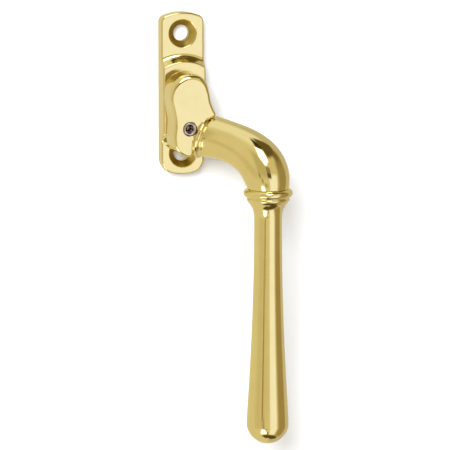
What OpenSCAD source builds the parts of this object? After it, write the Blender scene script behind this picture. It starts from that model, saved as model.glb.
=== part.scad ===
// Cranked espagnolette window handle: lever on a stepped backplate, with a lock screw and a 7 mm spindle.
// +X right, +Z up, -Y out towards the hand. The origin is on the pivot axis, in the plate's mounting plane.

/* [Backplate] */
// Width of the backplate
plate_w = 15.6; // [15.4:0.1:18]
// Length of the backplate
plate_l = 58; // [56:0.5:64]
// Thickness of the two fixing tabs
tab_t = 5; // [4.5:0.1:6]
// Thickness of the raised middle under the lever
raised_t = 8; // [7.8:0.1:9]
// Radius of the plate's two end arcs
end_r = 17; // [14:0.5:30]
// Radius of the two upper corners
corner_r = 1.5; // [0.8:0.1:3]
// Radius of the two lower corners
foot_corner_r = 3.2; // [0.8:0.1:4]
// Radius of the arcs that bound the raised middle
raised_r = 14; // [13:0.1:15]
// How far the centre of those arcs lies below the pivot
raised_drop = 2.4; // [1.5:0.1:3]
// Radius of the cove at the foot of the raised middle
cove_r = 2; // [1:0.1:2.4]

/* [Fixing holes] */
// Distance between the two fixing holes
hole_pitch = 43; // [42:0.5:44]
// Diameter of a fixing hole
hole_d = 5.8; // [5:0.1:6]
// Diameter of its 90 degree countersink
csk_d = 10.1; // [9:0.1:10.5]

/* [Lever] */
// Height of the hub above its running gap
hub_h = 10; // [9:0.5:12]
// Gap between the plate's raised face and the hub
run_gap = 0.2; // [0.1:0.05:0.3]
// Radius of the hub's upper lobe at its base
lobe_r = 7.3; // [6.9:0.1:8]
// Inward taper of the hub's wall up to its bevel
draft = 0.65; // [0.3:0.05:0.8]
// Width of the bevel round the hub's face
bevel = 0.5; // [0.3:0.1:0.8]
// Diameter of the round neck
neck_d = 15; // [13:0.1:15.4]
// Diameter of the bead at the neck's root
bead_d = 17.8; // [16:0.1:19]
// Length of the neck's straight run
neck_run = 14.9; // [12:0.1:18]
// Slope of that run below the horizontal, degrees
neck_slope = 16; // [8:1:24]
// Radius of the bend down to the grip
bend_r = 13.85; // [12:0.05:18]
// Direction of the neck, degrees out from the plate's plane
neck_turn = 40; // [30:1:50]

/* [Grip] */
// Length of the grip with its beads
grip_l = 91.8; // [80:0.2:100]
// Diameter of the large bead
ring_d = 17.4; // [16:0.1:18]
// Diameter of the small bead
ring2_d = 14.9; // [13:0.1:16]
// Diameter of the slim stem
stem_d = 9.8; // [9:0.1:11]
// Diameter of the bulb at the end
bulb_d = 15; // [12:0.1:16]

/* [Spindle and bearing] */
// Width across the spindle's flats
spindle_w = 7; // [7:1:7]
// How far the spindle stands out behind the plate
spindle_out = 40; // [15:1:60]
// Diameter of the lever's boss that turns in the plate
boss_d = 11.6; // [11.4:0.1:11.8]

/* [Lock screw] */
// Nominal diameter of the lock screw
lock_d = 5; // [4.8:0.1:5.2]
// Distance of the lock screw below the pivot
lock_drop = 11.1; // [10:0.1:12]
// Distance of the lock screw to the left of the pivot
lock_side = 0.4; // [0:0.1:1]
// Width across flats of its hexagonal socket
lock_key = 2.5; // [2:0.5:2.5]
// Travel of the lock screw into the plate
lock_travel = 3; // [2:0.5:3]

/* [Hidden] */
$fn = 96;
eps = 0.01;

brass = "#d9bf78";
steel = "#8f9296";
zinc = "#b9bcc0";
acetal = "#ece8dc";

hub_z = raised_t + run_gap;
face_z = hub_z + hub_h;
lobe_up = 0.7;
// The lower lobe, where the neck grows out of the hub
root_lobe = [1.2, -13.6];
root_lobe_r = 7.7;

// The neck's root, as [across, up, out], and the way its bead faces
root = [6.3, -13.5, 14];
bead_tilt = 54;
bead_swing = -25;
neck_r = neck_d / 2;
// The straight runs lap the bend's ends by this much, and are this much wider
weld = 0.5;
weld_r = neck_r + 0.05;
bend_x = neck_run * cos(neck_slope) - bend_r * sin(neck_slope);
bend_z = -neck_run * sin(neck_slope) - bend_r * cos(neck_slope);
neck_tail = 0.6;
seam_run = bend_x + bend_r;
seam = [root[0] + seam_run * cos(neck_turn), root[1] + bend_z - neck_tail,
        root[2] + seam_run * sin(neck_turn)];

csk_h = (csk_d - hole_d) / 2;
boss_end = 0.5;
bush_d = 12.8;
flange_d = 13.8;
flange_h = 1.15;
recess_h = 3.4;
wave_h = 0.85;
washer_h = 0.6;
ring_wire = 0.8;
fit = 0.02;
washer_z = recess_h - wave_h - fit - washer_h;
ring_z = washer_z - ring_wire / 2 - fit;
groove_d = boss_d - ring_wire;

spindle_corner_d = 9.4;
spindle_top = 14.4;
pin_d = 2;
pin_z = 5.2;
stud_d = 6;
stud_up = 9;
stud_down = 11;

lock_r = lock_d / 2 - 0.05;
lock_l = 9.8;
lock_head = face_z - 0.05;
dog_d = 3.5;
dog_l = 3;
lock_hole_d = 4.2;
lock_hole_h = lock_travel + 0.4;

// Turns a drawing made flat, as [across, up, out], to stand on the wall
module upright() {
    rotate([90, 0, 0]) children();
}

// Turns +Z to the direction that the neck's bead faces
module at_root() {
    translate(root) rotate([0, bead_tilt, bead_swing]) children();
}

module each_fixing_hole() {
    for (side = [-1, 1]) translate([0, side * hole_pitch / 2, 0]) children();
}

// ---- Backplate ----

// Upper half of the outline: an end arc, straight sides and round corners
module half_outline(corner) {
    arc_y = plate_l / 2 - end_r;
    side_x = plate_w / 2 - corner;
    corner_y = arc_y + sqrt(pow(end_r - corner, 2) - side_x * side_x);
    touch_x = side_x * end_r / (end_r - corner);
    translate([-plate_w / 2, 0]) square([plate_w, corner_y]);
    intersection() {
        translate([0, arc_y]) circle(end_r);
        translate([-touch_x, 0]) square([2 * touch_x, plate_l / 2]);
    }
    for (end = [-1, 1]) translate([end * side_x, corner_y]) circle(corner);
}

module plate_outline() {
    half_outline(corner_r);
    mirror([0, 1]) half_outline(foot_corner_r);
}

// Half section of the round raised middle, with its cove
module raised_section() {
    foot_r = raised_r + cove_r;
    difference() {
        square([foot_r, raised_t]);
        translate([foot_r, tab_t + cove_r]) circle(cove_r);
        translate([raised_r, tab_t + cove_r]) square([foot_r, raised_t]);
    }
}

module fixing_hole() {
    translate([0, 0, -1]) cylinder(d = hole_d, h = raised_t + 2);
    translate([0, 0, tab_t - csk_h]) cylinder(d1 = hole_d, d2 = csk_d, h = csk_h);
    translate([0, 0, tab_t]) cylinder(d = csk_d, h = raised_t);
}

module backplate() {
    color(brass) upright() difference() {
        union() {
            linear_extrude(tab_t) plate_outline();
            intersection() {
                translate([0, -raised_drop, 0]) rotate_extrude() raised_section();
                linear_extrude(raised_t) square([plate_w, plate_l], center = true);
            }
        }
        each_fixing_hole() fixing_hole();
        translate([0, 0, -1]) cylinder(d = bush_d, h = raised_t + 2);
        translate([0, 0, raised_t - 1]) cylinder(d = flange_d, h = 2);
        translate([0, 0, -1]) cylinder(d = flange_d, h = recess_h + 1);
        translate([-lock_side, -lock_drop, raised_t - lock_hole_h]) cylinder(d = lock_hole_d, h = lock_hole_h + 1);
    }
}

// ---- Bearing and retention ----

module ring(outer_d, inner_d, h) {
    difference() {
        cylinder(d = outer_d, h = h);
        translate([0, 0, -1]) cylinder(d = inner_d, h = h + 2);
    }
}

// Flanged plastic bush, pressed into the plate
module bearing_bush() {
    color(acetal) upright() {
        difference() {
            union() {
                translate([0, 0, recess_h]) cylinder(d = bush_d - 2 * fit, h = raised_t - recess_h);
                translate([0, 0, raised_t - 1 + fit]) cylinder(d = flange_d - 2 * fit, h = flange_h);
            }
            cylinder(d = boss_d + 2 * fit, h = face_z);
        }
    }
}

// Three-wave spring washer: a thin strip that rises and falls round the boss
module wave_washer() {
    strip_t = 0.25;
    steps = 72;
    radii = [boss_d / 2 + 0.1, flange_d / 2 - 0.15];
    middle = (wave_h - strip_t) / 2;
    function height(i) = middle + middle * 0.98 * cos(3 * i * 360 / steps);
    function at(i, r, lift) = [r * cos(i * 360 / steps), r * sin(i * 360 / steps), height(i) + lift];
    points = [for (i = [0:steps - 1]) each [
        at(i, radii[0], 0), at(i, radii[1], 0), at(i, radii[1], strip_t), at(i, radii[0], strip_t)]];
    faces = [for (i = [0:steps - 1], k = [0:3])
        let (j = (i + 1) % steps, m = (k + 1) % 4) [4 * i + k, 4 * i + m, 4 * j + m, 4 * j + k]];
    color(steel) upright() translate([0, 0, recess_h - wave_h]) polyhedron(points, faces);
}

module flat_washer() {
    color(zinc) upright() translate([0, 0, washer_z]) ring(flange_d - 0.2, boss_d + 0.1, washer_h);
}

// Round-wire ring, open at one side, in the boss's groove
module snap_ring() {
    color(steel) upright() translate([0, 0, ring_z]) rotate([0, 0, -70])
        rotate_extrude(angle = 320) translate([groove_d / 2 + ring_wire / 2, 0]) circle(d = ring_wire - fit, $fn = 32);
}

// ---- Lever ----

// Drafted round lobe of the hub with the bevel at its face
module lobe(r, facets = $fn) {
    translate([0, 0, hub_z]) cylinder(r1 = r, r2 = r - draft, h = hub_h - bevel, $fn = facets);
    translate([0, 0, face_z - bevel]) cylinder(r1 = r - draft, r2 = r - draft - bevel, h = bevel, $fn = facets);
}

module hub() {
    translate([0, lobe_up, 0]) lobe(lobe_r);
    translate(root_lobe) lobe(root_lobe_r);
    // Web between the lobes, narrower than both on the free side
    hull() {
        translate([0.4, -3, 0]) lobe(6.2, 32);
        translate([0.5, -11, 0]) lobe(6.2, 32);
        translate([5.4, -8, 0]) lobe(5, 32);
    }
}

// Bead and round neck: straight run, bend and short tail down to the grip
module neck() {
    at_root() translate([0, 0, -1.2]) {
        rotate_extrude() translate([bead_d / 2 - 1.2, 1.2]) circle(1.2);
        cylinder(r = bead_d / 2 - 1.2, h = 2.4);
    }
    translate(root) rotate([-90, 0, 0]) rotate([0, 0, -neck_turn]) {
        rotate([0, 90 + neck_slope, 0]) translate([0, 0, -3]) cylinder(r = weld_r, h = neck_run + 3 + weld);
        translate([bend_x, 0, bend_z]) {
            rotate([90, 0, 0]) rotate_extrude(angle = 90 - neck_slope) translate([bend_r, 0]) circle(neck_r);
            translate([bend_r, 0, -neck_tail]) cylinder(r = weld_r, h = neck_tail + weld);
        }
    }
}

// The boss that turns in the bush, with its ring groove
module boss() {
    difference() {
        translate([0, 0, boss_end]) cylinder(d = boss_d, h = hub_z - boss_end + 1);
        translate([0, 0, ring_z - ring_wire / 2]) ring(boss_d + 2, groove_d, ring_wire);
    }
}

// Square bar or socket with its corners turned off
module square_bar(w, corner_d, from, to) {
    translate([0, 0, from]) intersection() {
        translate([-w / 2, -w / 2, 0]) cube([w, w, to - from]);
        cylinder(d = corner_d, h = to - from);
    }
}

module lever_arm() {
    color(brass) upright() difference() {
        union() {
            difference() {
                hub();
                at_root() translate([-40, -40, 0]) cube(80);
            }
            difference() {
                neck();
                translate([-40, -60, hub_z - 80]) cube(80);
            }
            boss();
        }
        square_bar(spindle_w + 2 * fit, spindle_corner_d + 2 * fit, 0, spindle_top + 0.1);
        translate([-lock_side, -lock_drop, 0]) cylinder(d = lock_d, h = face_z + 1);
        translate([-boss_d, 0, pin_z]) rotate([0, 90, 0]) cylinder(d = pin_d, h = 2 * boss_d);
        translate(seam) rotate([-90, 0, 0]) translate([0, 0, -1]) cylinder(d = stud_d, h = stud_up + 1.5);
    }
}

// ---- Spindle ----

module spindle() {
    color(steel) upright() difference() {
        square_bar(spindle_w, spindle_corner_d, -spindle_out, spindle_top);
        translate([-boss_d, 0, pin_z]) rotate([0, 90, 0]) cylinder(d = pin_d, h = 2 * boss_d);
    }
}

// Cross pin through boss and spindle, held in by the bush
module spindle_pin() {
    pin_l = boss_d - 0.2;
    color(steel) upright() translate([-pin_l / 2, 0, pin_z]) rotate([0, 90, 0])
        cylinder(d = pin_d - 2 * fit, h = pin_l);
}

// ---- Grip ----

module grip_stud() {
    chamfer = 0.6;
    stud_r = stud_d / 2 - fit;
    color(steel) upright() translate(seam) rotate([-90, 0, 0]) translate([0, 0, -stud_down]) {
        cylinder(r1 = stud_r - chamfer, r2 = stud_r, h = chamfer);
        translate([0, 0, chamfer]) cylinder(r = stud_r, h = stud_down + stud_up - 2 * chamfer);
        translate([0, 0, stud_down + stud_up - chamfer]) cylinder(r1 = stud_r, r2 = stud_r - chamfer, h = chamfer);
    }
}

// Half section of the turned grip, as [radius, distance below the seam]
module grip_section() {
    ring_h = 2.9;
    ring2_h = 1.4;
    stem_r = stem_d / 2;
    bulb_r = bulb_d / 2;
    flare_top = ring_h + ring2_h;
    flare_r = 3.4;
    taper_top = 38;
    bulb_y = grip_l - bulb_r;
    taper_r = stem_r + 0.3;
    difference() {
        polygon([[0, 0], [stem_r + 1.5, 0], [stem_r + 2.1, flare_top], [stem_r, flare_top + flare_r],
                 [taper_r, taper_top], [bulb_r, bulb_y - 2.5], [bulb_r, bulb_y], [0, bulb_y]]);
        translate([stem_r + flare_r, flare_top + flare_r]) circle(flare_r);
    }
    translate([ring_d / 2 - ring_h / 2, ring_h / 2]) circle(d = ring_h);
    square([ring_d / 2 - ring_h / 2, ring_h]);
    translate([ring2_d / 2 - ring2_h / 2, ring_h + ring2_h / 2]) circle(d = ring2_h);
    translate([0, ring_h - eps]) square([ring2_d / 2 - ring2_h / 2, ring2_h + eps]);
    intersection() {
        translate([0, bulb_y]) circle(bulb_r);
        translate([0, bulb_y - eps]) square([bulb_r, bulb_r + 1]);
    }
}

module grip() {
    color(brass) upright() translate(seam) rotate([90, 0, 0]) difference() {
        rotate_extrude() grip_section();
        translate([0, 0, -1]) cylinder(d = stud_d, h = stud_down + 1.3);
    }
}

// ---- Lock screw ----

// Socket screw with a dog point, here backed off so that the lever is free
module lock_screw() {
    shank_l = lock_l - dog_l;
    key_r = lock_key / sqrt(3);
    color(steel) upright() translate([-lock_side, -lock_drop, lock_head - lock_l]) difference() {
        union() {
            cylinder(d = dog_d, h = dog_l + eps);
            translate([0, 0, dog_l]) cylinder(r1 = dog_d / 2, r2 = lock_r, h = 0.7);
            translate([0, 0, dog_l + 0.7]) cylinder(r = lock_r, h = shank_l - 1.1);
            translate([0, 0, lock_l - 0.4]) cylinder(r1 = lock_r, r2 = lock_r - 0.35, h = 0.4);
        }
        translate([0, 0, lock_l - 3]) cylinder(r = key_r, h = 4, $fn = 6);
    }
}

backplate();
bearing_bush();
wave_washer();
flat_washer();
snap_ring();
lever_arm();
spindle();
spindle_pin();
grip_stud();
grip();
lock_screw();
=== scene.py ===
"""Looks for the lockable cranked window handle: polished brass on a pale board."""

import math

import bpy
import numpy as np
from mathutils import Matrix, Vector


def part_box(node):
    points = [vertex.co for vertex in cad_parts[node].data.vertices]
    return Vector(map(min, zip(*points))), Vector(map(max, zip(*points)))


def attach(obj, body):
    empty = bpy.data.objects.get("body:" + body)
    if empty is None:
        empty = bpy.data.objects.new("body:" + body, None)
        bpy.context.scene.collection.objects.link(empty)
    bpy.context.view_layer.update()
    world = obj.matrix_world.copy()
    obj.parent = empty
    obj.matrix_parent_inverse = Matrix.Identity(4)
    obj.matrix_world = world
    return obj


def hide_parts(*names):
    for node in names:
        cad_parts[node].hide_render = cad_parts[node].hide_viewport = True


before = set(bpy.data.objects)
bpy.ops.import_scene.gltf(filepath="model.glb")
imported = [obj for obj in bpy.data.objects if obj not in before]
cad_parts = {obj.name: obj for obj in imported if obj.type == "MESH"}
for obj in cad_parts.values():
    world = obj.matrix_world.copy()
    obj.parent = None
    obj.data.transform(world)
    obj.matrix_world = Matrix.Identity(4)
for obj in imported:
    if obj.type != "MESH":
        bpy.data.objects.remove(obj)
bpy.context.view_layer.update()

MM = 0.001


def front(point):
    """A point of the row frame, in metres, as [across, up, out] in millimetres."""
    return np.array([point[0], point[2], -point[1]]) / MM


def middle(node):
    """The middle of a CAD node's box, as [across, up, out] in millimetres."""
    low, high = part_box(node)
    return (front(low) + front(high)) / 2


def reach(node):
    """The [across, up, out] limits of a CAD node in millimetres, as (least, greatest)."""
    low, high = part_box(node)
    corners = np.array([front(low), front(high)])
    return corners.min(0), corners.max(0)


# ---- Sizes from the frame ----

plate_min, plate_max = reach("backplate")
plate_w = plate_max[0] - plate_min[0]
plate_half = plate_max[1]
raised = plate_max[2]
# Thickness of the plate's ends, and how far its fixing holes lie from the pivot
tab = 5.0
hole_up = 21.5
# The hub clears the raised middle by 0.2 and is 10 thick
hub_base = raised + 0.2
hub_face = hub_base + 10.0
lock = middle("lock_screw")
lock_min, lock_max = reach("lock_screw")
grip_min, grip_max = reach("grip")
grip_axis = middle("grip")
seam = np.array([grip_axis[0], grip_max[1], grip_axis[2]])
grip_length = grip_max[1] - grip_min[1]
# The lever's boss runs through the plate's bore, with a square socket for the spindle
boss_r = 5.8
boss_end = 0.5
square_w = 7.04
# Radius of the recesses at both ends of that bore
flange_r = 6.9
ring_groove = middle("snap_ring")[2]

# ---- Distance-field tools: shapes are given by their distance, negative inside ----


def length(*parts):
    """Length of the vector with these components."""
    return np.sqrt(sum(part * part for part in parts))


def soft_min(a, b, k):
    """Union that blends the two surfaces over about k."""
    share = np.maximum(k - np.abs(a - b), 0) / k
    return np.minimum(a, b) - share * share * k / 4


def soft_max(a, b, k):
    """Intersection that blends the two surfaces over about k."""
    return -soft_min(-a, -b, k)


def round_min(a, b, r):
    """Union with a round fillet of radius r in the inner corner."""
    return np.maximum(r, np.minimum(a, b)) - length(np.maximum(r - a, 0), np.maximum(r - b, 0))


def round_max(a, b, r):
    """Intersection with its edge rounded to radius r."""
    return np.minimum(-r, np.maximum(a, b)) + length(np.maximum(r + a, 0), np.maximum(r + b, 0))


def bevel_max(a, b, size):
    """Intersection with a flat bevel that takes size off each face."""
    return soft_max(soft_max(a, b, 0.08), (a + b + size) * math.sqrt(0.5), 0.14)


def closed_curve(points, per_span):
    """A smooth closed curve through the points (Catmull-Rom), as a dense loop."""
    p = np.array(points, float)
    t = np.arange(per_span)[:, None] / per_span
    spans = []
    for i in range(len(p)):
        a, b, c, d = p[i - 1], p[i], p[(i + 1) % len(p)], p[(i + 2) % len(p)]
        spans.append(b + t * (c - a) / 2 + t ** 2 * (a - 2.5 * b + 2 * c - d / 2)
                     + t ** 3 * (1.5 * (b - c) + (d - a) / 2))
    return np.concatenate(spans)


def loop_distance(loop, x, y):
    """Signed distance from points to a closed loop, negative inside."""
    best = np.full(x.shape, 1e9)
    inside = np.zeros(x.shape, bool)
    for (ax, ay), (bx, by) in zip(loop, np.roll(loop, -1, axis=0)):
        ex, ey = bx - ax, by - ay
        t = np.clip(((x - ax) * ex + (y - ay) * ey) / (ex * ex + ey * ey), 0, 1)
        best = np.minimum(best, (x - ax - t * ex) ** 2 + (y - ay - t * ey) ** 2)
        crosses = (ay > y) != (by > y)
        if by != ay:
            inside ^= crosses & (x < ax + (y - ay) * ex / ey)
    return np.where(inside, -1, 1) * np.sqrt(best)


def gradient(field, points, step=0.01):
    """Numerical gradient of a distance field."""
    out = np.empty_like(points)
    for axis in range(3):
        shift = np.zeros(3)
        shift[axis] = step
        out[:, axis] = (field(points + shift) - field(points - shift)) / (2 * step)
    return out


def sample_band(field, low, count, step):
    """The field on a grid, exact near the surface and only a sign elsewhere."""
    block = 4
    coarse = -(-count // block)
    axes = [low[a] + (np.arange(coarse[a]) + 0.5) * block * step - step / 2 for a in range(3)]
    centres = np.stack(np.meshgrid(*axes, indexing="ij"), -1).reshape(-1, 3)
    rough = field(centres).reshape(coarse)
    near = np.abs(rough) < block * step * 1.3
    for axis in range(3):
        near = near | np.roll(near, 1, axis) | np.roll(near, -1, axis)

    def widen(a):
        for axis in range(3):
            a = np.repeat(a, block, axis)
        return a[:count[0], :count[1], :count[2]]

    values = np.where(widen(rough) < 0, -1.0, 1.0)
    cells = np.argwhere(widen(near))
    values[tuple(cells.T)] = field(low + cells * step)
    return values


def surface_mesh(name, field, low, high, step, rounds=3):
    """Smooth quad mesh of a distance field's surface, with the field's own normals."""
    low = np.array(low, float)
    count = np.ceil((np.array(high, float) - low) / step).astype(int) + 1
    values = sample_band(field, low, count, step)
    inside = values < 0
    corners = [np.array(c) for c in np.ndindex(2, 2, 2)]
    size = count - 1

    def corner(grid, c):
        return grid[c[0]:c[0] + size[0], c[1]:c[1] + size[1], c[2]:c[2] + size[2]]

    total = sum(corner(inside, c).astype(np.int8) for c in corners)
    cells = np.argwhere((total > 0) & (total < 8))
    point_sum = np.zeros((len(cells), 3))
    hits = np.zeros(len(cells))
    for c in corners:
        for axis in range(3):
            if c[axis]:
                continue
            far = c.copy()
            far[axis] = 1
            v0 = values[tuple((cells + c).T)]
            v1 = values[tuple((cells + far).T)]
            cut = (v0 < 0) != (v1 < 0)
            t = np.where(cut, v0 / np.where(cut, v0 - v1, 1), 0)
            place = cells + c.astype(float)
            place[:, axis] += t
            point_sum[cut] += place[cut]
            hits[cut] += 1
    points = low + point_sum / hits[:, None] * step
    index = np.full(size, -1)
    index[tuple(cells.T)] = np.arange(len(cells))
    quads = []
    for axis in range(3):
        u, v = (axis + 1) % 3, (axis + 2) % 3
        ahead = np.take(inside, range(1, count[axis]), axis)
        behind = np.take(inside, range(0, count[axis] - 1), axis)
        edges = np.argwhere(ahead != behind)
        keep = (edges[:, u] > 0) & (edges[:, v] > 0) & (edges[:, u] < size[u]) & (edges[:, v] < size[v])
        edges = edges[keep]
        around = []
        for du, dv in ((1, 1), (0, 1), (0, 0), (1, 0)):
            cell = edges.copy()
            cell[:, u] -= du
            cell[:, v] -= dv
            around.append(index[tuple(cell.T)])
        quad = np.stack(around, 1)
        flip = ahead[tuple(edges.T)]
        quad[flip] = quad[flip][:, ::-1]
        quads.append(quad)
    quads = np.concatenate(quads)
    for _ in range(rounds):
        slope = gradient(field, points)
        move = field(points)[:, None] * slope / np.maximum((slope ** 2).sum(1), 0.05)[:, None]
        points -= np.clip(move, -step / 2, step / 2)
    normals = gradient(field, points)
    return front_mesh(name, points, quads, normals)


def front_mesh(name, points, faces, normals=None):
    """A mesh object from [across, up, out] millimetre points."""
    mesh = bpy.data.meshes.new(name)
    row = np.stack([points[:, 0], -points[:, 2], points[:, 1]], 1) * MM
    mesh.from_pydata(row.tolist(), [], [list(map(int, f)) for f in faces])
    mesh.polygons.foreach_set("use_smooth", [True] * len(mesh.polygons))
    if normals is not None:
        n = np.stack([normals[:, 0], -normals[:, 2], normals[:, 1]], 1)
        n /= np.maximum(np.linalg.norm(n, axis=1), 1e-9)[:, None]
        mesh.normals_split_custom_set_from_vertices(n.tolist())
    obj = bpy.data.objects.new(name, mesh)
    bpy.context.scene.collection.objects.link(obj)
    return obj


# ---- Materials ----


def new_material(name):
    """A material with its nodes, its links and its shader."""
    material = bpy.data.materials.new(name)
    material.use_nodes = True
    nodes = material.node_tree.nodes
    return material, nodes, material.node_tree.links, nodes["Principled BSDF"]


def add(nodes, kind, **values):
    """A new node with its inputs or settings given by name."""
    node = nodes.new(kind)
    for key, value in values.items():
        if key in node.inputs:
            node.inputs[key].default_value = value
        else:
            setattr(node, key, value)
    return node


def ramp(nodes, stops):
    """A colour ramp through (position, colour) stops."""
    node = nodes.new("ShaderNodeValToRGB")
    elements = node.color_ramp.elements
    elements[0].position, elements[0].color = stops[0]
    elements[-1].position, elements[-1].color = stops[-1]
    for position, color in stops[1:-1]:
        element = elements.new(position)
        element.color = color
    return node


def grey(value):
    return (value, value, value, 1)


def metal(name, color, worn, roughness, scratch_bump, wave_bump, recessed=False):
    """Metal with cloudy tone, uneven polish, fine hairline scratches and a slight waviness; if recessed,
    painted shade darkens its colour inside holes and grooves, where it is also rougher.
    """
    material, nodes, links, shader = new_material(name)
    shader.inputs["Metallic"].default_value = 1
    coords = nodes.new("ShaderNodeTexCoord")

    cloud = add(nodes, "ShaderNodeTexNoise", Scale=140, Detail=5, Roughness=0.6)
    links.new(coords.outputs["Object"], cloud.inputs["Vector"])
    tone = ramp(nodes, [(0.3, (*worn, 1)), (0.62, (*color, 1))])
    links.new(cloud.outputs["Fac"], tone.inputs["Fac"])
    tint = tone.outputs["Color"]
    if recessed:
        # Painted shade: the colour is darkened inside holes and grooves, where the metal is also
        # unpolished and rougher
        hollow = add(nodes, "ShaderNodeAttribute", attribute_name="hollow")
        painted_hollow_shade = nodes.new("ShaderNodeMix")
        painted_hollow_shade.data_type = "RGBA"
        links.new(hollow.outputs["Fac"], painted_hollow_shade.inputs[0])
        links.new(tint, painted_hollow_shade.inputs[6])
        painted_hollow_shade.inputs[7].default_value = (0.58, 0.45, 0.14, 1)
        tint = painted_hollow_shade.outputs[2]
    links.new(tint, shader.inputs["Base Color"])

    # Polish: cloudy, with long thin hairlines in two directions
    polish = add(nodes, "ShaderNodeTexNoise", Scale=420, Detail=6, Roughness=0.7)
    links.new(coords.outputs["Object"], polish.inputs["Vector"])
    rough = ramp(nodes, [(0.3, grey(roughness * 0.8)), (0.72, grey(roughness * 1.35))])
    links.new(polish.outputs["Fac"], rough.inputs["Fac"])
    if recessed:
        duller = add(nodes, "ShaderNodeMath", operation="MULTIPLY_ADD")
        duller.inputs[1].default_value = 0.2
        links.new(hollow.outputs["Fac"], duller.inputs[0])
        links.new(rough.outputs["Color"], duller.inputs[2])
        links.new(duller.outputs[0], shader.inputs["Roughness"])
    else:
        links.new(rough.outputs["Color"], shader.inputs["Roughness"])

    hairs = []
    for turn, stretch in ((0.35, (2400, 2400, 90)), (-0.8, (2000, 2000, 60))):
        mapping = add(nodes, "ShaderNodeMapping")
        mapping.inputs["Rotation"].default_value = (turn, turn * 0.6, turn)
        mapping.inputs["Scale"].default_value = stretch
        hair = add(nodes, "ShaderNodeTexNoise", Scale=1, Detail=2, Roughness=0.5)
        line = ramp(nodes, [(0.60, grey(0)), (0.72, grey(1))])
        links.new(coords.outputs["Object"], mapping.inputs["Vector"])
        links.new(mapping.outputs["Vector"], hair.inputs["Vector"])
        links.new(hair.outputs["Fac"], line.inputs["Fac"])
        hairs.append(line)
    both = add(nodes, "ShaderNodeMath", operation="MAXIMUM")
    links.new(hairs[0].outputs["Color"], both.inputs[0])
    links.new(hairs[1].outputs["Color"], both.inputs[1])

    scratch = add(nodes, "ShaderNodeBump", Strength=scratch_bump, Distance=0.00002, invert=True)
    links.new(both.outputs[0], scratch.inputs["Height"])
    wave = add(nodes, "ShaderNodeTexNoise", Scale=90, Detail=1, Roughness=0.4)
    links.new(coords.outputs["Object"], wave.inputs["Vector"])
    ripple = add(nodes, "ShaderNodeBump", Strength=wave_bump, Distance=0.0002)
    links.new(wave.outputs["Fac"], ripple.inputs["Height"])
    links.new(ripple.outputs["Normal"], scratch.inputs["Normal"])
    links.new(scratch.outputs["Normal"], shader.inputs["Normal"])
    return material


def acetal_material():
    """Moulded plastic with a faintly cloudy tone and a fine grain."""
    material, nodes, links, shader = new_material("acetal_moulded")
    coords = nodes.new("ShaderNodeTexCoord")
    cloud = add(nodes, "ShaderNodeTexNoise", Scale=300, Detail=4, Roughness=0.5)
    links.new(coords.outputs["Object"], cloud.inputs["Vector"])
    tone = ramp(nodes, [(0.35, (0.74, 0.72, 0.66, 1)), (0.65, (0.82, 0.8, 0.74, 1))])
    links.new(cloud.outputs["Fac"], tone.inputs["Fac"])
    links.new(tone.outputs["Color"], shader.inputs["Base Color"])
    rough = ramp(nodes, [(0.3, grey(0.38)), (0.7, grey(0.5))])
    links.new(cloud.outputs["Fac"], rough.inputs["Fac"])
    links.new(rough.outputs["Color"], shader.inputs["Roughness"])
    bump = add(nodes, "ShaderNodeBump", Strength=0.2, Distance=0.00003)
    links.new(cloud.outputs["Fac"], bump.inputs["Height"])
    links.new(bump.outputs["Normal"], shader.inputs["Normal"])
    return material


# The brass's holes and grooves get painted shade and a rougher surface through the hollow mask
BRASS = metal("polished_brass", (0.88, 0.77, 0.375), (0.85, 0.735, 0.345), 0.08, 0.05, 0.03, recessed=True)
STEEL = metal("drawn_steel", (0.56, 0.57, 0.58), (0.45, 0.46, 0.47), 0.3, 0.5, 0.1)
SPRING = metal("spring_steel", (0.3, 0.31, 0.34), (0.22, 0.22, 0.24), 0.35, 0.4, 0.1)
ZINC = metal("zinc_plate", (0.7, 0.71, 0.72), (0.6, 0.61, 0.63), 0.3, 0.3, 0.1)
SCREW = metal("screw_steel", (0.52, 0.46, 0.45), (0.36, 0.31, 0.3), 0.16, 0.3, 0.1)
ACETAL = acetal_material()


def wear(piece, material, body):
    """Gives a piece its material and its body."""
    piece.data.materials.clear()
    piece.data.materials.append(material)
    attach(piece, body)
    return piece


# ---- Backplate ----


def plate_outline(x, up):
    """Straight sides, end arcs and corners, rounder at the foot."""
    end_r, top_corner, foot_corner = 17.0, 1.5, 3.2
    side = np.abs(x) - plate_w / 2
    end = length(x, np.maximum(np.abs(up) - (plate_half - end_r), 0)) - end_r
    return np.where(up > 0, round_max(side, end, top_corner), round_max(side, end, foot_corner))


# Countersunk fixing holes
hole_r, csk_r = 2.9, 5.05


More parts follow.
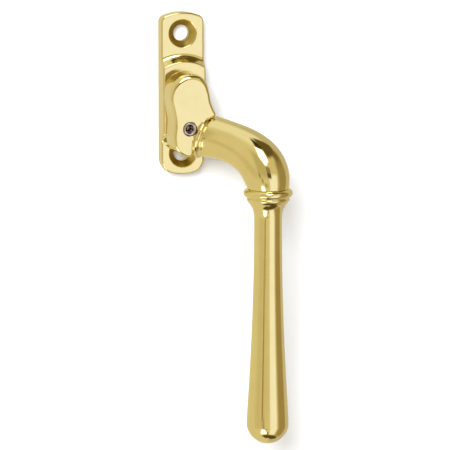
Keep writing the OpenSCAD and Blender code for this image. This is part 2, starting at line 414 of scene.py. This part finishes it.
def plate_field(p):
    """Plate with a raised round middle, two fixing holes, the bush's bore and the lock hole."""
    x, up, out = p[:, 0], p[:, 1], p[:, 2]
    raised_r, raised_drop, step_slope, foot_r = 14.0, 2.4, math.radians(58), 0.9
    edge_r, bore_r, washer_depth, flange_depth = 0.7, 6.4, 3.4, 1
    lock_r, lock_depth = 2.1, 3.4
    past_rim = length(x, up + raised_drop) - raised_r
    disc = past_rim * math.sin(step_slope) - (raised - out) * math.cos(step_slope)
    middle_part = soft_max(disc, out - raised, 0.35)
    body = round_min(out - tab, middle_part, foot_r)
    body = round_max(body, plate_outline(x, up), edge_r)
    body = soft_max(body, -out, 0.3)
    from_hole = length(x, np.abs(up) - hole_up)
    cone = (from_hole - hole_r - (out - (tab - (csk_r - hole_r)))) * math.sqrt(0.5)
    hole = np.minimum(from_hole - hole_r, np.maximum(cone, from_hole - csk_r))
    body = soft_max(body, -hole, 0.2)
    from_pivot = length(x, up)
    # The bore is wider behind, for the washers, and in front, for the bush's flange
    bore = np.minimum(from_pivot - bore_r, np.maximum(from_pivot - flange_r, out - washer_depth))
    bore = np.minimum(bore, np.maximum(from_pivot - flange_r, raised - flange_depth - out))
    lock_hole = np.maximum(length(x - lock[0], up - lock[1]) - lock_r, raised - lock_depth - out)
    return soft_max(soft_max(body, -bore, 0.12), -lock_hole, 0.12)


def mark_hollows(obj, depth):
    """Stores how far inside a hole or groove each vertex lies, from 0 to 1: the mask for painted shade and
    rougher metal there.
    """
    count = len(obj.data.vertices)
    row = np.empty(count * 3)
    obj.data.vertices.foreach_get("co", row)
    row = row.reshape(-1, 3) / MM
    points = np.stack([row[:, 0], row[:, 2], -row[:, 1]], 1)
    layer = obj.data.attributes.new("hollow", "FLOAT", "POINT")
    layer.data.foreach_set("value", np.clip(depth(points), 0, 1))


def plate_hollow(p):
    """1 or more inside the plate's holes and 0 or less outside, in a step that is fade wide."""
    fade = 0.2
    from_hole = length(p[:, 0], np.abs(p[:, 1]) - hole_up)
    from_pivot = length(p[:, 0], p[:, 1])
    in_hole = (csk_r + 0.1 - from_hole) / fade
    in_bore = (flange_r + 0.1 - from_pivot) / fade
    behind_front = (tab - 0.05 - p[:, 2]) / fade
    before_back = (p[:, 2] - 0.15) / fade
    return np.minimum(np.maximum(np.minimum(in_hole, behind_front), in_bore), before_back)


def make_backplate():
    margin, step = 0.6, 0.22
    plate = surface_mesh("backplate_brass", plate_field, plate_min - margin, plate_max + margin, step)
    mark_hollows(plate, plate_hollow)
    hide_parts("backplate")
    return wear(plate, BRASS, "plate")


# ---- Lever ----

# Outline of the hub next to the plate and at its face, as [across, up], anticlockwise from the top
HUB_FOOT = [(0.2, 8.4), (-3.8, 7.4), (-6.8, 4.4), (-7.6, 0.2), (-7.3, -4), (-6.8, -8.9),
            (-6.9, -14.2), (-6, -18.4), (-2, -21), (3, -21), (8, -17), (10.5, -10),
            (8.6, -5), (8.0, -1.5), (7.8, 1.4), (6.9, 4.7), (4.2, 7.4)]
HUB_FACE = [(0.1, 8.2), (-3.7, 7.25), (-6.6, 4.2), (-7.4, -0.4), (-6.5, -4.8), (-5.85, -9.3),
            (-6.2, -14.5), (-5.3, -18.6), (-1.8, -20.9), (0.5, -20.5), (0.8, -18), (1.2, -15.4),
            (2, -13), (3.3, -10.6), (5.6, -8.2), (9, -6.6), (8, -4), (7.1, -1.5), (6.6, 1.4),
            (5.8, 4.7), (3.7, 7.3)]
foot_loop = closed_curve(HUB_FOOT, 8)
face_loop = closed_curve(HUB_FACE, 8)

# The neck's middle line: a cubic from its root in the hub to the seam with the grip. The handles
# say how far its two control points lie from its ends, and it runs on behind the root to NECK_BACK.
neck_turn = math.radians(37.7)
neck_slope = math.radians(8.5)
neck_root = np.array([7.75, -14.4, 14])
neck_way = np.array([math.cos(neck_turn), 0, math.sin(neck_turn)])
NECK_HANDLES = (12.7, 11.1)
NECK_BACK = -0.1
# A cubic for its radius, through the values at four even steps, swelling in the bend
NECK_RADII = np.polyfit([0, 1 / 3, 2 / 3, 1], [7.7, 7.38, 8.15, 7.27], 3)

# The ring round the neck's root: its axis, its middle and its section, with a core inside it
ring_way = np.array([0.786, -0.309, 0.535])
ring_way /= np.linalg.norm(ring_way)
ring_middle = np.array([6.0, -14.5, 13.1])
RING_R = 7.15
RING_ROLL = 1.0
CORE_R = 7.15
CORE_HALF = 3.4
CORE_BACK = 1.4
# How far past the ring's middle the neck's own surface begins
NECK_START = 1.6


def neck_powers():
    """The four coefficients of the neck's cubic."""
    upward = np.array([0, 1, 0])
    start_way = neck_way * math.cos(neck_slope) - upward * math.sin(neck_slope)
    a = neck_root
    b = a + start_way * NECK_HANDLES[0]
    d = seam
    c = d + upward * NECK_HANDLES[1]
    return a, 3 * (b - a), 3 * (a - 2 * b + c), d - 3 * c + 3 * b - a


NECK_CUBIC = neck_powers()


def neck_distance(p):
    """Distance to the neck, from the nearest point of its middle line."""
    c0, c1, c2, c3 = NECK_CUBIC
    # The best of some starting points, then Newton steps
    nearest = np.full(len(p), 1e9)
    t = np.zeros(len(p))
    for start in np.linspace(NECK_BACK, 1, 16):
        gap = c0 + start * (c1 + start * (c2 + start * c3)) - p
        far = (gap * gap).sum(1)
        t = np.where(far < nearest, start, t)
        nearest = np.minimum(far, nearest)
    for _ in range(4):
        u = t[:, None]
        gap = c0 + u * (c1 + u * (c2 + u * c3)) - p
        way = c1 + u * (2 * c2 + u * 3 * c3)
        bend = 2 * c2 + 6 * u * c3
        speed = (way * way).sum(1)
        rate = np.maximum(speed + (gap * bend).sum(1), 0.3 * speed)
        t = np.clip(t - (gap * way).sum(1) / rate, NECK_BACK, 1)
    u = t[:, None]
    gap = c0 + u * (c1 + u * (c2 + u * c3)) - p
    radius = np.polyval(NECK_RADII, np.clip(t, 0, 1))
    return np.maximum(np.sqrt((gap * gap).sum(1)) - radius, seam[1] - p[:, 1])


# The ring's plane cuts the hub below this height, and the cut moves away from the hub above it
HUB_CUT_UP = -9.5


def lever_field(p):
    """Hub, ring and neck in one casting, with its boss, its square socket and its screw hole."""
    x, up, out = p[:, 0], p[:, 1], p[:, 2]
    weld, groove_w, screw_hole_r = 0.3, 0.4, 2.5
    socket_corner_r, socket_end = 4.72, 14.5
    rise = np.clip((out - hub_base) / (hub_face - hub_base), 0, 1)
    wall = loop_distance(foot_loop, x, up) * (1 - rise) + loop_distance(face_loop, x, up) * rise
    # The face's edge is rounder towards the top
    edge_r = 1.1 + 0.9 * np.clip((up - 1) / 5, 0, 1)
    hub = round_max(wall, out - hub_face, edge_r)
    from_ring = p - ring_middle
    along = from_ring @ ring_way
    away = np.sqrt(np.maximum((from_ring * from_ring).sum(1) - along * along, 0))
    past = along - 0.1 - 0.8 * np.maximum(up - HUB_CUT_UP, 0)
    hub = soft_max(hub, past * 0.8, weld)
    ring = length(away - RING_R, along) - RING_ROLL
    core = np.maximum(away - CORE_R, np.abs(along + CORE_BACK) - CORE_HALF)
    neck = round_max(neck_distance(p), NECK_START - along, 0.25)
    body = soft_min(soft_min(neck, core, 0.25), ring, weld)
    body = soft_min(body, hub, weld)
    body = soft_max(body, hub_base - out, weld)
    from_pivot = length(x, up)
    boss = np.maximum(from_pivot - boss_r, boss_end - out)
    groove = np.maximum(boss_r - groove_w - from_pivot, np.abs(out - ring_groove) - groove_w)
    boss = soft_max(np.maximum(boss, out - hub_base - 1), -groove, 0.08)
    body = np.minimum(body, boss)
    socket = np.maximum(np.maximum(np.abs(x), np.abs(up)) - square_w / 2, from_pivot - socket_corner_r)
    socket = np.maximum(socket, out - socket_end)
    screw_hole = length(x - lock[0], up - lock[1]) - screw_hole_r
    return soft_max(soft_max(body, -socket, 0.1), -screw_hole, 0.12)


def make_lever():
    # Limits of the grid on which the surface is found
    low = np.array([-8.2, seam[1] - 0.6, boss_end - 0.5])
    high = np.array([seam[0] + 8.4, 9.2, seam[2] + 8.6])
    step = 0.24
    lever = surface_mesh("lever_brass", lever_field, low, high, step)
    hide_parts("lever_arm")
    return wear(lever, BRASS, "lever")


# ---- Grip ----


def arc(centre, radius, start, end, count):
    """Points of an arc in the grip's section, angles in degrees, 0 outwards and 90 down."""
    angles = np.radians(np.linspace(start, end, count))
    return [(centre[0] + radius * math.cos(a), centre[1] + radius * math.sin(a)) for a in angles]


def grip_section():
    """[radius, distance below the seam] down the turned grip."""
    stem_r, bulb_r = 4.92, 7.55
    ring_r, ring2_r, flare_r = 1.45, 0.75, 8.1
    ring_reach, ring2_reach = 8.68, 7.6
    flare_drop = 5.8
    ring = (ring_reach - ring_r, ring_r)
    ring2 = (ring2_reach - ring2_r, 2 * ring_r + ring2_r)
    foot = 2 * (ring_r + ring2_r)
    flare = (stem_r + flare_r, foot + flare_drop)
    points = [(0.0, 0.0), (3.0, 0.0), (6.0, 0.0)]
    points += arc(ring, ring_r, -90, 62, 20)
    points += arc(ring2, ring2_r, -48, 62, 12)
    points += arc(flare, flare_r, -137, -180, 18)
    # Below the flare the stem widens more and more towards the bulb
    bulb = grip_length - bulb_r
    straight = 16.0
    for s in np.linspace(flare[1], bulb, 60)[1:-1]:
        widen = 0.00163 * max(s - straight, 0) ** 1.75
        points.append((min(stem_r + widen, bulb_r), s))
    points += arc((0, bulb), bulb_r, 0, 90, 24)
    return smooth_stem(np.array(points), flare[1], bulb)


def smooth_stem(points, top, bottom):
    """Eases the corners between the flare, the stem and the bulb."""
    inside = (points[:, 1] > top + 0.5) & (points[:, 1] < bottom + 1)
    for _ in range(12):
        eased = points[:, 0].copy()
        eased[1:-1] = (points[:-2, 0] + 2 * points[1:-1, 0] + points[2:, 0]) / 4
        points[:, 0] = np.where(inside, eased, points[:, 0])
    return points


def make_grip():
    section = grip_section()
    around = 160
    turn = np.arange(around) * 2 * math.pi / around
    rings = []
    for radius, drop in section[1:-1]:
        rings.append(np.stack([seam[0] + radius * np.cos(turn), np.full(around, seam[1] - drop),
                               seam[2] + radius * np.sin(turn)], 1))
    points = np.concatenate([*rings, [seam - [0, section[0][1], 0]], [seam - [0, section[-1][1], 0]]])
    faces = []
    for ring in range(len(rings) - 1):
        upper, lower = ring * around, (ring + 1) * around
        for i in range(around):
            j = (i + 1) % around
            faces.append((upper + i, upper + j, lower + j, lower + i))
    top, tip = len(points) - 2, len(points) - 1
    last = (len(rings) - 1) * around
    for i in range(around):
        j = (i + 1) % around
        faces.append((top, j, i))
        faces.append((tip, last + i, last + j))
    grip = front_mesh("grip_brass", points, faces)
    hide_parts("grip")
    return wear(grip, BRASS, "lever")


# ---- Lock screw ----


def screw_field(p):
    """Threaded screw with a smooth head end, a dog point and a hexagonal socket."""
    x, up, out = p[:, 0] - lock[0], p[:, 1] - lock[1], p[:, 2]
    low, high = lock_min[2], lock_max[2]
    away = length(x, up)
    turn = np.arctan2(up, x) / (2 * math.pi)
    pitch, crest_r, thread_depth, end_r, dog_r = 0.8, 2.45, 0.42, 2.4, 1.75
    thread = np.abs(((out / pitch - turn) % 1) - 0.5) * 2
    shank = (away - (crest_r - thread_depth * thread)) * 0.75
    smooth_end = away - end_r
    near_face = np.clip((out - (high - 0.7)) / 0.4, 0, 1)
    body = shank * (1 - near_face) + smooth_end * near_face
    body = bevel_max(body, out - high, 0.28)
    dog = soft_max(away - dog_r, low - out, 0.3)
    point_cone = (away - dog_r - (out - low - 3)) * math.sqrt(0.5)
    body = soft_min(soft_max(body, np.maximum(point_cone, low + 2.6 - out), 0.1), dog, 0.1)
    # Hexagonal socket with a countersunk mouth
    half_across, tilt, socket_depth, mouth_r = 1.25, 12, 2.4, 1.75
    hexagon = np.full(len(p), -1e9)
    for k in range(3):
        a = math.radians(60 * k + tilt)
        hexagon = np.maximum(hexagon, np.abs(x * math.cos(a) + up * math.sin(a)) - half_across)
    socket = np.maximum(hexagon, high - socket_depth - out - 0.6 * away)
    mouth = (away - mouth_r + (high - out)) * math.sqrt(0.5)
    return soft_max(body, -np.minimum(socket, mouth), 0.06)


def make_lock_screw():
    margin, step = 0.4, 0.1
    screw = surface_mesh("lock_screw_steel", screw_field, lock_min - margin, lock_max + margin, step)
    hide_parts("lock_screw")
    return wear(screw, SCREW, "lock")


make_backplate()
make_lever()
make_grip()
make_lock_screw()

# The other CAD pieces keep their shape and get their own metal or plastic
HIDDEN = (("bearing_bush", ACETAL), ("wave_washer", SPRING), ("flat_washer", ZINC), ("snap_ring", SPRING),
          ("spindle", STEEL), ("spindle_pin", STEEL), ("grip_stud", STEEL))
for node, material in HIDDEN:
    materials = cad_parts[node].data.materials
    materials.clear()
    materials.append(material)

# ---- Board behind the handle: clear from behind and to the metal's reflections ----


def make_board():
    half, gap = 0.6, 0.00005
    mesh = bpy.data.meshes.new("board")
    corners = [(-half, 0, -half), (half, 0, -half), (half, 0, half), (-half, 0, half)]
    mesh.from_pydata(corners, [], [(0, 1, 2, 3)])
    board = bpy.data.objects.new("board", mesh)
    bpy.context.scene.collection.objects.link(board)
    board.location = (0, gap, 0)
    material, nodes, links, shader = new_material("board_white")
    shader.inputs["Base Color"].default_value = (0.77, 0.8, 0.86, 1)
    shader.inputs["Roughness"].default_value = 0.9
    shader.inputs["Specular IOR Level"].default_value = 0.1
    shader.inputs["Emission Color"].default_value = grey(1)
    shader.inputs["Emission Strength"].default_value = 0.1
    clear = nodes.new("ShaderNodeBsdfTransparent")
    side = nodes.new("ShaderNodeNewGeometry")
    path = nodes.new("ShaderNodeLightPath")
    unseen = add(nodes, "ShaderNodeMath", operation="MAXIMUM")
    mix = nodes.new("ShaderNodeMixShader")
    links.new(side.outputs["Backfacing"], unseen.inputs[0])
    links.new(path.outputs["Is Glossy Ray"], unseen.inputs[1])
    links.new(unseen.outputs[0], mix.inputs["Fac"])
    links.new(shader.outputs["BSDF"], mix.inputs[1])
    links.new(clear.outputs["BSDF"], mix.inputs[2])
    links.new(mix.outputs["Shader"], nodes["Material Output"].inputs["Surface"])
    board.data.materials.append(material)


make_board()

# ---- Camera ----

CAMERA_TURN = math.radians(-14.2)
CAMERA_RISE = math.radians(9.5)
CAMERA_FAR = 1.1
camera_data = bpy.data.cameras.new("camera")
camera_data.lens = 243.3
camera_data.clip_start = 0.05
camera_data.clip_end = 20
camera = bpy.data.objects.new("camera", camera_data)
bpy.context.scene.collection.objects.link(camera)
level = math.cos(CAMERA_RISE)
back = Vector((math.sin(CAMERA_TURN) * level, -math.cos(CAMERA_TURN) * level, math.sin(CAMERA_RISE)))
target = Vector((0.01680, 0, -0.04897))
camera.location = target + back * CAMERA_FAR
camera.rotation_mode = "QUATERNION"
camera.rotation_quaternion = (-back).to_track_quat("-Z", "Y")
bpy.context.scene.camera = camera

# ---- Light ----


def softbox(name, place, aim, size, watts):
    """A rectangular lamp at a place, aimed at a point and unseen by the camera."""
    light = bpy.data.lights.new(name, "AREA")
    light.shape = "RECTANGLE"
    light.size, light.size_y = size
    light.energy = watts
    lamp = bpy.data.objects.new(name, light)
    bpy.context.scene.collection.objects.link(lamp)
    lamp.location = place
    lamp.rotation_mode = "QUATERNION"
    lamp.rotation_quaternion = (Vector(aim) - Vector(place)).to_track_quat("-Z", "Y")
    lamp.visible_camera = False
    return lamp


# The studio as the metal sees it. Each panel is (turn from, turn to, edge, rise from, rise to, edge,
# tone, lean of the first side, lean of the second): turn in degrees from straight out of the plate
# towards +X, rise in degrees above level, and a lean moves that side per degree of rise.
# Tones can pass 1. WALLS is the tone wherever no panel lies.
WALLS = (0.76, 0.68, 0.48)
PANELS = [
    ((-200, 200), 1, (62, 95), 12, (0.93, 0.9, 0.8), (0, 0)),             # pale ceiling
    ((108, 162), 12, (-95, 60), 8, (0.6, 0.54, 0.4), (0, 0)),            # right wall, further back
    ((-90, -46), 22, (-15, 2), 6, (0.66, 0.57, 0.37), (0, 0)),           # left wall, low down
    ((-50, -9), 9, (-4, 42), 8, (0.57, 0.49, 0.29), (0, 0)),             # shade beside the camera
    ((46, 101), 10, (-60, 34), 12, (0.38, 0.285, 0.14), (0, 0)),         # brown curtain
    ((60, 104), 14, (26, 60), 10, (0.22, 0.15, 0.06), (0, 0)),           # its dim head
    ((12, 44), 6, (8, 44), 5, (0.7, 0.62, 0.4), (0, 0)),                 # wall above the screen
    ((20, 112), 5, (46, 84), 5, (0.14, 0.1, 0.035), (0, 0)),             # dark corner above it
    ((-22, 24), 4, (64, 88), 3, (0.04, 0.025, 0.01), (0, 0)),            # dark lintel of the window
    ((-1, 38), 5, (-60, 8), 5, (1.05, 1.04, 1.14), (0, 0)),              # pale screen in front
    ((-25, 14), 1.5, (38, 63), 2, (3.2, 3.2, 3.2), (0, 0)),              # upper window
    ((21, -34), 1.5, (25, 40), 1, (3.2, 3.2, 3.2), (-1.15, 1.2)),        # its slanting foot
    ((-10, 10), 2, (-1, 24), 4, (0.32, 0.25, 0.12), (0, 0)),             # camera
    ((-7, 9), 2, (-1, 9), 2, (0.1, 0.07, 0.035), (0, 0)),                # its dark lens
    ((-49, -41), 2, (-9, -1), 2, (0.36, 0.27, 0.12), (0, 0)),            # stand
    ((-41, -32), 2, (-17, -8), 2, (0.42, 0.33, 0.16), (0, 0)),           # its arm
    ((-29, -11), 3, (-23, -15), 3, (0.5, 0.42, 0.24), (0, 0)),           # its arm's end
    ((-72, 105), 8, (-84, -60), 4, (0.11, 0.07, 0.025), (0, 0)),         # dark table edge
    ((-26, -9), 4, (-60, -42), 4, (0.3, 0.22, 0.1), (0, 0)),             # box on the table
    ((-34, -42), 2, (-54, -23), 1.5, (3.0, 3.0, 3.0), (0.58, -0.39)),    # lower window
]


def make_world():
    """The panels laid over the walls one after another; the camera itself sees a plain pale tone."""
    world = bpy.data.worlds.new("studio")
    bpy.context.scene.world = world
    world.use_nodes = True
    nodes, links = world.node_tree.nodes, world.node_tree.links
    coords = nodes.new("ShaderNodeTexCoord")
    parts = nodes.new("ShaderNodeSeparateXYZ")
    links.new(coords.outputs["Generated"], parts.inputs[0])

    def maths(operation, *values):
        node = nodes.new("ShaderNodeMath")
        node.operation = operation
        for socket, value in zip(node.inputs, values):
            if isinstance(value, (int, float)):
                socket.default_value = value
            else:
                links.new(value, socket)
        return node.outputs[0]

    outward = maths("MULTIPLY", parts.outputs["Y"], -1.0)
    turn = maths("DEGREES", maths("ARCTAN2", parts.outputs["X"], outward))
    rise = maths("DEGREES", maths("ARCSINE", parts.outputs["Z"]))

    def step(value, edge, soft):
        node = nodes.new("ShaderNodeMapRange")
        node.interpolation_type = "SMOOTHSTEP"
        node.inputs["From Min"].default_value = edge - soft
        node.inputs["From Max"].default_value = edge + soft
        links.new(value, node.inputs["Value"])
        return node.outputs["Result"]

    def side(limit, soft, lean):
        value = maths("MULTIPLY_ADD", rise, -lean, turn) if lean else turn
        return step(value, limit, soft)

    color = None
    for (a0, a1), a_soft, (e0, e1), e_soft, tone, (lean0, lean1) in PANELS:
        across = maths("SUBTRACT", side(a0, a_soft, lean0), side(a1, a_soft, lean1))
        up = maths("SUBTRACT", step(rise, e0, e_soft), step(rise, e1, e_soft))
        mask = maths("MULTIPLY", maths("MAXIMUM", across, 0.0), maths("MAXIMUM", up, 0.0))
        mix = nodes.new("ShaderNodeMix")
        mix.data_type = "RGBA"
        links.new(mask, mix.inputs[0])
        if color is None:
            mix.inputs[6].default_value = (*WALLS, 1)
        else:
            links.new(color, mix.inputs[6])
        mix.inputs[7].default_value = (*tone, 1)
        color = mix.outputs[2]
    seen = nodes.new("ShaderNodeLightPath")
    plain = nodes.new("ShaderNodeMix")
    plain.data_type = "RGBA"
    links.new(seen.outputs["Is Camera Ray"], plain.inputs[0])
    links.new(color, plain.inputs[6])
    plain.inputs[7].default_value = grey(0.98)
    links.new(plain.outputs[2], nodes["Background"].inputs["Color"])


make_world()
key = softbox("key_left", place=(-0.55, -1.15, 0.5), aim=(0, 0, -0.04), size=(0.6, 0.6), watts=22)
key.visible_glossy = False
bpy.context.scene.view_settings.view_transform = "Standard"
